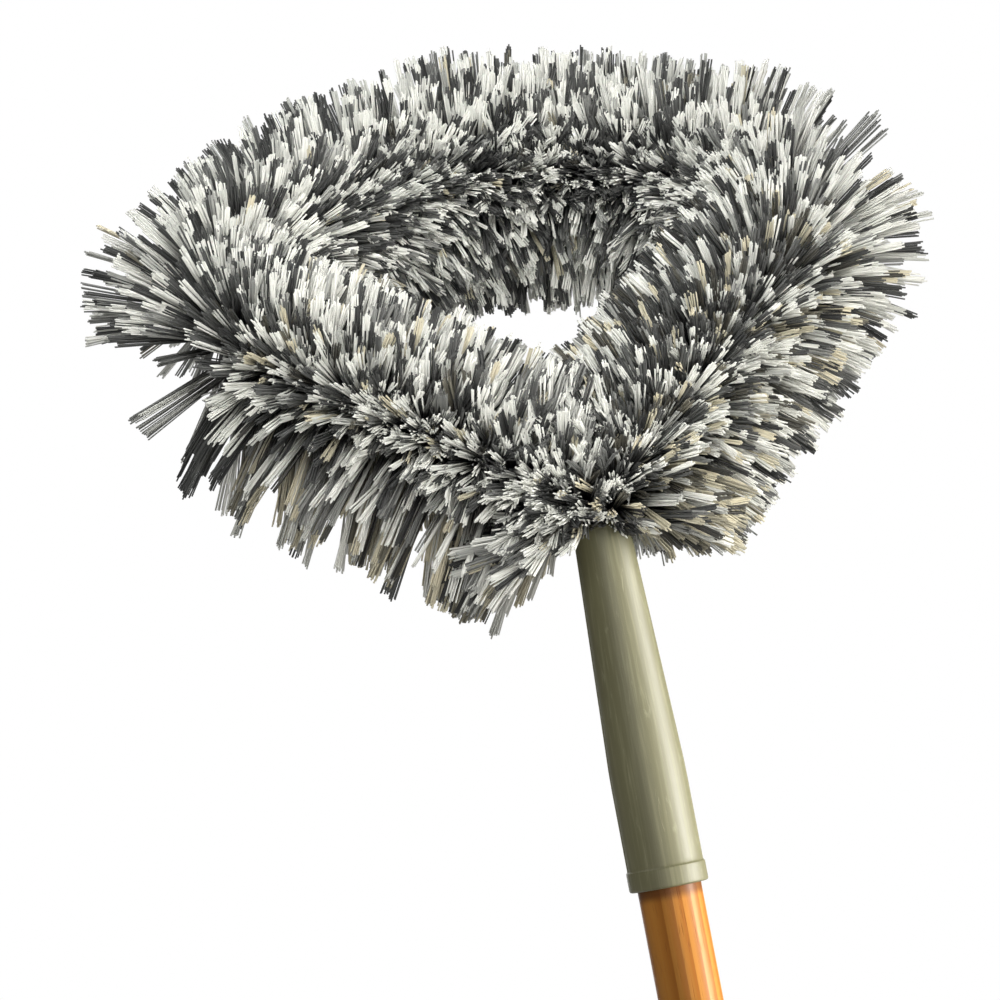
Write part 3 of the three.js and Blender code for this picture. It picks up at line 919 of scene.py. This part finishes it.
def lay_tufts(quarter, rng):
    """A quarter's tufts: roots, directions along the core and out of it, lengths, shades and warmth."""
    bed = (core.length - 2 * bristle_start) / len(BEDS)
    count = TUFTS_PER_BED
    place = bristle_start + bed * (quarter + (np.arange(count) + rng.uniform(0, 1, count)) / count)
    angle = tuft_angles(place, quarter, rng)
    facing = np.clip(np.cos(angle - face_angle(place)), 0, 1)
    lean = np.interp(place / MM, LEAN_PLACES, LEAN_DEGREES)
    lean = lean + facing * np.interp(place / MM, FACE_PLACES, FACE_LEAN_DEGREES)
    in_skirt = within(place, angle, *SKIRT, *SKIRT_EDGES)
    scatter = FRINGE_SCATTER + (FACE_SCATTER - FRINGE_SCATTER) * facing
    scatter = scatter + (SKIRT_SCATTER - scatter) * in_skirt
    _, across = skirt_lobe(place, angle)
    parted = across * PARTING_HALF * in_skirt
    tilt = np.radians(rng.normal(0, 1, count) * scatter + lean) - np.arctan(parted / BRISTLE_REACH)
    share = np.where(rng.random(count) < FULL_LENGTH_SHARE,
                     rng.normal(FULL_LENGTH, FULL_LENGTH_SCATTER, count),
                     rng.uniform(SHORTEST_SHARE - SHORTER_IN_FACE * facing, FULL_LENGTH))
    shade = tuft_shades(place, angle, rng)
    # Painted shade and light: the share of tufts that take the warm tint
    warm_tint_odds = np.full(count, WARM_SHARE[quarter])
    for *patch, warm in WARM_PATCHES:
        warm_tint_odds = np.where(within(place, angle, *patch) > 0, warm, warm_tint_odds)
    warmth = rng.random(count) < warm_tint_odds
    luck = rng.random(count)
    kept = ~bare(place, angle)
    for *patch, kept_share in THINNED:
        kept &= (within(place, angle, *patch) == 0) | (luck <= kept_share)
    rows = np.stack([place, angle, tilt, share, shade, warmth])[:, kept]

    begin, end = bristle_start + bed * quarter, bristle_start + bed * (quarter + 1)
    lone = [(distance * MM, math.radians(degrees), 0, reach * MM / BRISTLE_REACH, tone, 0)
            for distance, degrees, reach, tone in LONE_TUFTS if begin <= distance * MM < end]
    if lone:
        rows = np.concatenate([rows, np.array(lone).T], axis=1)
    place, angle, tilt, share, shade, warmth = rows

    points, along = core.places(place)
    face, beside = core.across(along)
    out = unit(np.cos(angle)[:, None] * beside + np.sin(angle)[:, None] * face
               + np.tan(tilt)[:, None] * along)
    reach = np.minimum(filament_reach(place, angle, along, out) * share, floor_reach(place, points, out))
    long_enough = reach > TUFT_TIP
    columns = (points, along, out, reach, shade.astype(int), warmth.astype(int))
    return tuple(column[long_enough] for column in columns)


def make_filaments(name, node, quarter, material):
    """A quarter of the filament bed, as tufts that leave the core on both sides along its twist."""
    rng = np.random.default_rng(FIRST_SEED + quarter)
    points, along, out, reach, shade, warmth = lay_tufts(quarter, rng)
    tufts, each = len(points), FILAMENTS_PER_TUFT
    count = tufts * each
    bow = rng.normal(0, TUFT_BOW, (tufts, 3))

    first = unit(np.cross(out, along))
    first, second = np.repeat(first, each, axis=0), np.repeat(np.cross(out, first), each, axis=0)
    radius, turn = np.sqrt(rng.random(count)), rng.uniform(0, 2 * math.pi, count)
    off_axis = (radius * np.cos(turn))[:, None] * first + (radius * np.sin(turn))[:, None] * second
    points, out, bow = (np.repeat(rows, each, axis=0) for rows in (points, out, bow))
    reach = np.repeat(reach, each) * rng.normal(1, STRAND_LENGTH_SCATTER, count)
    bow = bow + rng.normal(0, STRAND_BOW, (count, 3))
    shade = np.clip(np.repeat(shade, each) + rng.integers(-1, 2, count), 0, SHADE_STEPS - 1)
    warmth = np.repeat(warmth, each)

    steps = np.array(STRAND_STEPS)
    width = TUFT_ROOT + (TUFT_TIP - TUFT_ROOT) * steps
    strand = points[:, None] + out[:, None] * (reach[:, None] * steps)[:, :, None]
    strand = strand + off_axis[:, None] * width[None, :, None] + bow[:, None] * (steps ** 2)[None, :, None]
    radii = np.tile(ROOT_RADIUS + (TIP_RADIUS - ROOT_RADIUS) * steps, (count, 1))
    mesh = strand_mesh(name, strand, radii, rng.uniform(0, 2 * math.pi, count), shade, warmth)
    return add_piece(name, mesh, material, "head", "filament", node)


def photo_camera():
    """Camera at the photograph's place, rolled so that the pole leans as it does there."""
    socket_top = Vector((0, 0, SOCKET_TOP))
    back = Vector((math.sin(VIEW_AZIMUTH) * math.cos(VIEW_RISE),
                   -math.cos(VIEW_AZIMUTH) * math.cos(VIEW_RISE),
                   math.sin(VIEW_RISE)))
    level = Vector((math.cos(VIEW_AZIMUTH), math.sin(VIEW_AZIMUTH), 0))
    upright = back.cross(level)
    across = level * math.cos(VIEW_ROLL) + upright * math.sin(VIEW_ROLL)
    up = upright * math.cos(VIEW_ROLL) - level * math.sin(VIEW_ROLL)
    place = socket_top + back * VIEW_DISTANCE
    pixel = VIEW_DISTANCE / FOCAL_PIXELS
    middle = PICTURE_PIXELS / 2
    right, down = SOCKET_TOP_PIXEL
    aim = socket_top - across * (right - middle) * pixel + up * (down - middle) * pixel

    lens = bpy.data.cameras.new("photo_camera")
    lens.sensor_width = SENSOR_WIDTH
    lens.lens = FOCAL_PIXELS / PICTURE_PIXELS * SENSOR_WIDTH
    camera = bpy.data.objects.new("photo_camera", lens)
    towards = (place - aim).normalized()
    across = (across - towards * across.dot(towards)).normalized()
    turn = Matrix((across, towards.cross(across), towards)).transposed()
    camera.matrix_world = Matrix.Translation(place) @ turn.to_4x4()
    bpy.context.scene.collection.objects.link(camera)
    bpy.context.scene.camera = camera


def studio_world():
    """White behind the brush, and a softer, dimmer light from all round."""
    world = bpy.data.worlds.new("studio_world")
    world.use_nodes = True
    bpy.context.scene.world = world
    nodes = Nodes(world.node_tree)
    background = world.node_tree.nodes["Background"]
    seen = nodes.add("ShaderNodeLightPath", output="Is Camera Ray")
    nodes.feed(background.inputs["Color"], (1, 1, 1, 1))
    nodes.feed(background.inputs["Strength"], WORLD_LIGHT + seen * (WORLD_SEEN - WORLD_LIGHT))
    bpy.context.scene.view_settings.view_transform = "Standard"


def add_light(name, place, aim, size, power, colour=WHITE_LIGHT, spread=180):
    """A soft panel of the given width and height (m), power (W) and spread (degrees) that faces a point."""
    lamp = bpy.data.lights.new(name, "AREA")
    lamp.shape = "RECTANGLE"
    lamp.size, lamp.size_y = size
    lamp.energy, lamp.color, lamp.spread = power, colour, math.radians(spread)
    light = bpy.data.objects.new(name, lamp)
    light.location = place
    light.rotation_euler = (Vector(place) - Vector(aim)).to_track_quat("Z", "Y").to_euler()
    bpy.context.scene.collection.objects.link(light)
    return light


def studio_lights(pole, socket, floor):
    """Soft light on the ring from above, all round and the right, and a strip for pole and socket alone."""
    ring_middle, crown, skirt = (0, 0.07, 1.05), (0, 0.08, 1.14), (-0.09, 0.02, 0.97)
    pole_top, pole_middle = (0, 0, 0.74), (0, 0, 0.5)
    panel, beam = (0.4, 0.4), 22
    add_light("top_light", (-0.6, -0.2, 2.4), ring_middle, size=(1.4, 1.4), power=18.9)
    add_light("front_light", (-0.5, -1.6, 1.6), crown, panel, power=0.31, spread=beam)
    add_light("fill_light", (0.0, -1.7, 1.15), ring_middle, panel, power=0.28, spread=beam)
    add_light("low_light", (-0.35, -1.5, 0.62), skirt, panel, 0.2, WARM_LIGHT, beam)
    add_light("side_light", (0.94, -0.47, 0.66), pole_top, (0.25, 0.6), 1.3, WARM_LIGHT, spread=40)
    back = add_light("back_light", (0.1, 2.0, 1.3), ring_middle, size=(1.6, 1.6), power=27)
    # The floor is left out of the back light, which would draw a bright band on it
    unlit = bpy.data.collections.new("unlit_by_back_light")
    unlit.objects.link(floor)
    unlit.collection_objects[0].light_linking.link_state = "EXCLUDE"
    back.light_linking.receiver_collection = unlit
    strip = add_light("pole_strip", (1.0, -0.34, 0.5), pole_middle, (0.3, 1.5), 9.0, STRIP_LIGHT, spread=60)
    lit = bpy.data.collections.new("lit_by_pole_strip")
    lit.objects.link(pole)
    lit.objects.link(socket)
    strip.light_linking.receiver_collection = lit


def studio_floor():
    """A wide, round, pale floor, whose own glow doesn't light the brush."""
    form = bmesh.new()
    bmesh.ops.create_circle(form, cap_ends=True, segments=FLOOR_SIDES, radius=FLOOR_RADIUS)
    mesh = mesh_from(form, "studio_floor")
    mesh.materials.append(floor_paper())
    floor = bpy.data.objects.new("studio_floor", mesh)
    floor.visible_diffuse = False
    bpy.context.scene.collection.objects.link(floor)
    return floor


photo_camera()
studio_world()
studio_lights(make_pole(), make_socket(), studio_floor())
steel = drawn_steel()
make_wire("wire_a_twisted", "core_wire_a", 1, steel)
make_wire("wire_b_twisted", "core_wire_b", -1, steel)
frame["nodes"]["stem_sleeve"].data.materials[0] = steel
fibre = filament_fibre()
for quarter, bed in enumerate(BEDS):
    make_filaments(f"filaments_{bed}", f"bristles_{bed}", quarter, fibre)
